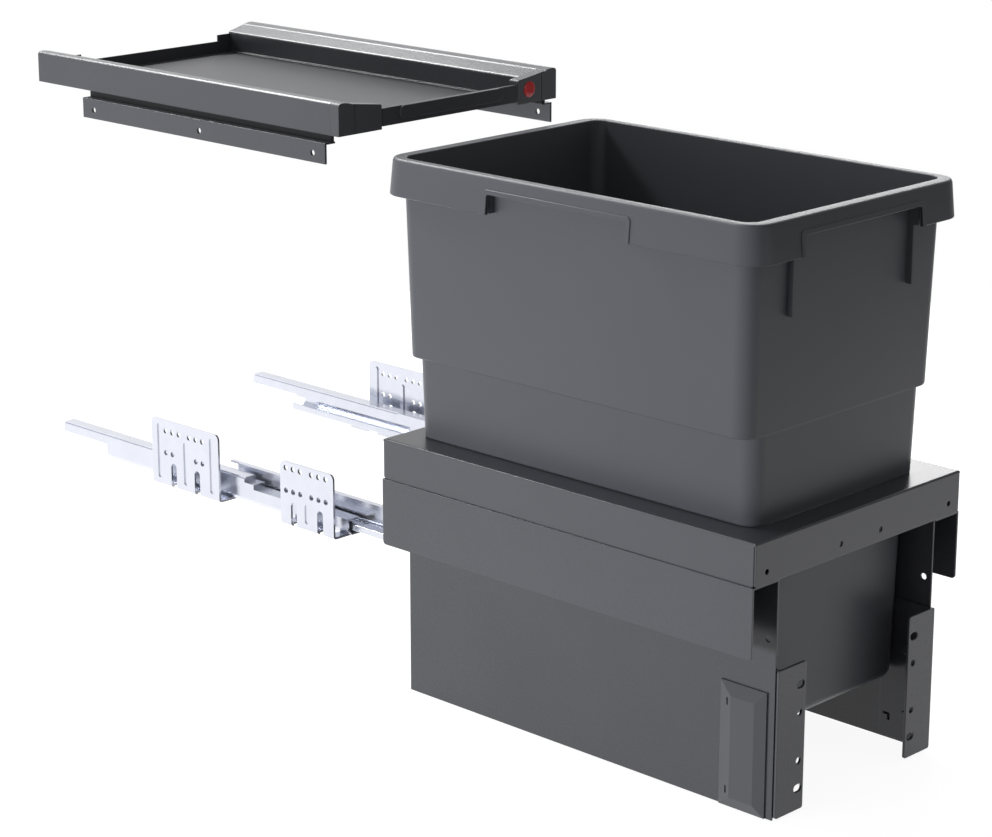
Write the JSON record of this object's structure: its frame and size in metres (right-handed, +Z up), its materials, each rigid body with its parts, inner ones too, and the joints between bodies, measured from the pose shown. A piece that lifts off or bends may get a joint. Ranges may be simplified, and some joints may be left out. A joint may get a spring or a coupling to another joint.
{
  "type": "pull out bin frame",
  "caption": "Pull-out waste-bin frame for a narrow base cabinet: sheet-metal frame on ball-bearing slides, loose bin, and a sliding shelf that covers the bin.",
  "frame": {"origin": "midway between the cabinet's side walls, on the cabinet's front edge, at the lower row of bracket holes", "axes": "+X to the right seen from the front, +Y into the cabinet, +Z up"},
  "size_m": [0.271, 0.841, 0.503],
  "materials": {
    "dark_coated_steel": "fine-textured anthracite powder coat",
    "bin_plastic": "anthracite moulded plastic with a fine grain",
    "dark_plastic": "anthracite moulded plastic",
    "black_plastic": "black moulded plastic",
    "zinc_steel": "bright zinc-plated sheet steel",
    "ball_steel": "polished bearing steel",
    "red_plastic": "plain red moulded cap"
  },
  "bodies": {
    "cabinet_side": {"front_bracket_left": "zinc_steel", "rear_bracket_left": "zinc_steel", "cabinet_rail_left": "zinc_steel", "closing_unit_left": "zinc_steel", "cover_bracket_left": "dark_coated_steel", "cover_runner_left": "black_plastic", "front_bracket_right": "zinc_steel", "rear_bracket_right": "zinc_steel", "cabinet_rail_right": "zinc_steel", "closing_unit_right": "zinc_steel", "cover_bracket_right": "dark_coated_steel", "cover_runner_right": "black_plastic"},
    "pull_out_frame": {"drawer_rail_left": "zinc_steel", "rail_rivets_left": "zinc_steel", "side_band_left": "dark_coated_steel", "side_panel_left": "dark_coated_steel", "adjuster_cover_left": "dark_plastic", "clamp_screws_left": "zinc_steel", "drawer_rail_right": "zinc_steel", "rail_rivets_right": "zinc_steel", "side_band_right": "dark_coated_steel", "side_panel_right": "dark_coated_steel", "adjuster_cover_right": "dark_plastic", "clamp_screws_right": "zinc_steel", "top_frame": "dark_coated_steel"},
    "waste_bin": {"bin": "bin_plastic"},
    "cover_shelf": {"cover_tray": "dark_coated_steel", "shelf_rail_left": "dark_coated_steel", "shelf_end_cap_left": "dark_plastic", "cover_glides_left": "black_plastic", "shelf_rail_right": "dark_coated_steel", "shelf_end_cap_right": "dark_plastic", "cover_glides_right": "black_plastic", "end_cap_disc": "red_plastic"},
    "left_front_angle": {"front_angle_left": "dark_coated_steel"},
    "left_middle_rail": {"middle_rail_left": "zinc_steel"},
    "left_lower_cage": {"lower_ball_cage_left": "black_plastic", "lower_balls_left": "ball_steel"},
    "left_upper_cage": {"upper_ball_cage_left": "black_plastic", "upper_balls_left": "ball_steel"},
    "right_front_angle": {"front_angle_right": "dark_coated_steel"},
    "right_middle_rail": {"middle_rail_right": "zinc_steel"},
    "right_lower_cage": {"lower_ball_cage_right": "black_plastic", "lower_balls_right": "ball_steel"},
    "right_upper_cage": {"upper_ball_cage_right": "black_plastic", "upper_balls_right": "ball_steel"}
  },
  "joints": [
    {"name": "pull_out", "type": "slide", "parent": "cabinet_side", "child": "pull_out_frame", "axis": [0, -1, 0], "range_m": [-0.442, 0]},
    {"name": "bin_lift", "type": "slide", "parent": "pull_out_frame", "child": "waste_bin", "axis": [0, 0, 1], "range_m": [0, 0.3]},
    {"name": "cover_slide", "type": "slide", "parent": "cabinet_side", "child": "cover_shelf", "axis": [0, 1, 0], "range_m": [-0.2, 0]},
    {"name": "left_front_adjust", "type": "slide", "parent": "pull_out_frame", "child": "left_front_angle", "axis": [0, 0, 1], "range_m": [-0.0025, 0.0025]},
    {"name": "left_lower_cage_slide", "type": "slide", "parent": "cabinet_side", "child": "left_lower_cage", "axis": [0, -1, 0], "range_m": [-0.1105, 0]},
    {"name": "left_middle_rail_slide", "type": "slide", "parent": "cabinet_side", "child": "left_middle_rail", "axis": [0, -1, 0], "range_m": [-0.221, 0]},
    {"name": "left_upper_cage_slide", "type": "slide", "parent": "cabinet_side", "child": "left_upper_cage", "axis": [0, -1, 0], "range_m": [-0.3315, 0]},
    {"name": "right_front_adjust", "type": "slide", "parent": "pull_out_frame", "child": "right_front_angle", "axis": [0, 0, 1], "range_m": [-0.0025, 0.0025]},
    {"name": "right_lower_cage_slide", "type": "slide", "parent": "cabinet_side", "child": "right_lower_cage", "axis": [0, -1, 0], "range_m": [-0.1105, 0]},
    {"name": "right_middle_rail_slide", "type": "slide", "parent": "cabinet_side", "child": "right_middle_rail", "axis": [0, -1, 0], "range_m": [-0.221, 0]},
    {"name": "right_upper_cage_slide", "type": "slide", "parent": "cabinet_side", "child": "right_upper_cage", "axis": [0, -1, 0], "range_m": [-0.3315, 0]}
  ],
  "couplings": [
    {"joint": "left_lower_cage_slide", "follows": "pull_out", "ratio": 0.25},
    {"joint": "left_middle_rail_slide", "follows": "pull_out", "ratio": 0.5},
    {"joint": "left_upper_cage_slide", "follows": "pull_out", "ratio": 0.75},
    {"joint": "right_lower_cage_slide", "follows": "pull_out", "ratio": 0.25},
    {"joint": "right_middle_rail_slide", "follows": "pull_out", "ratio": 0.5},
    {"joint": "right_upper_cage_slide", "follows": "pull_out", "ratio": 0.75}
  ]
}
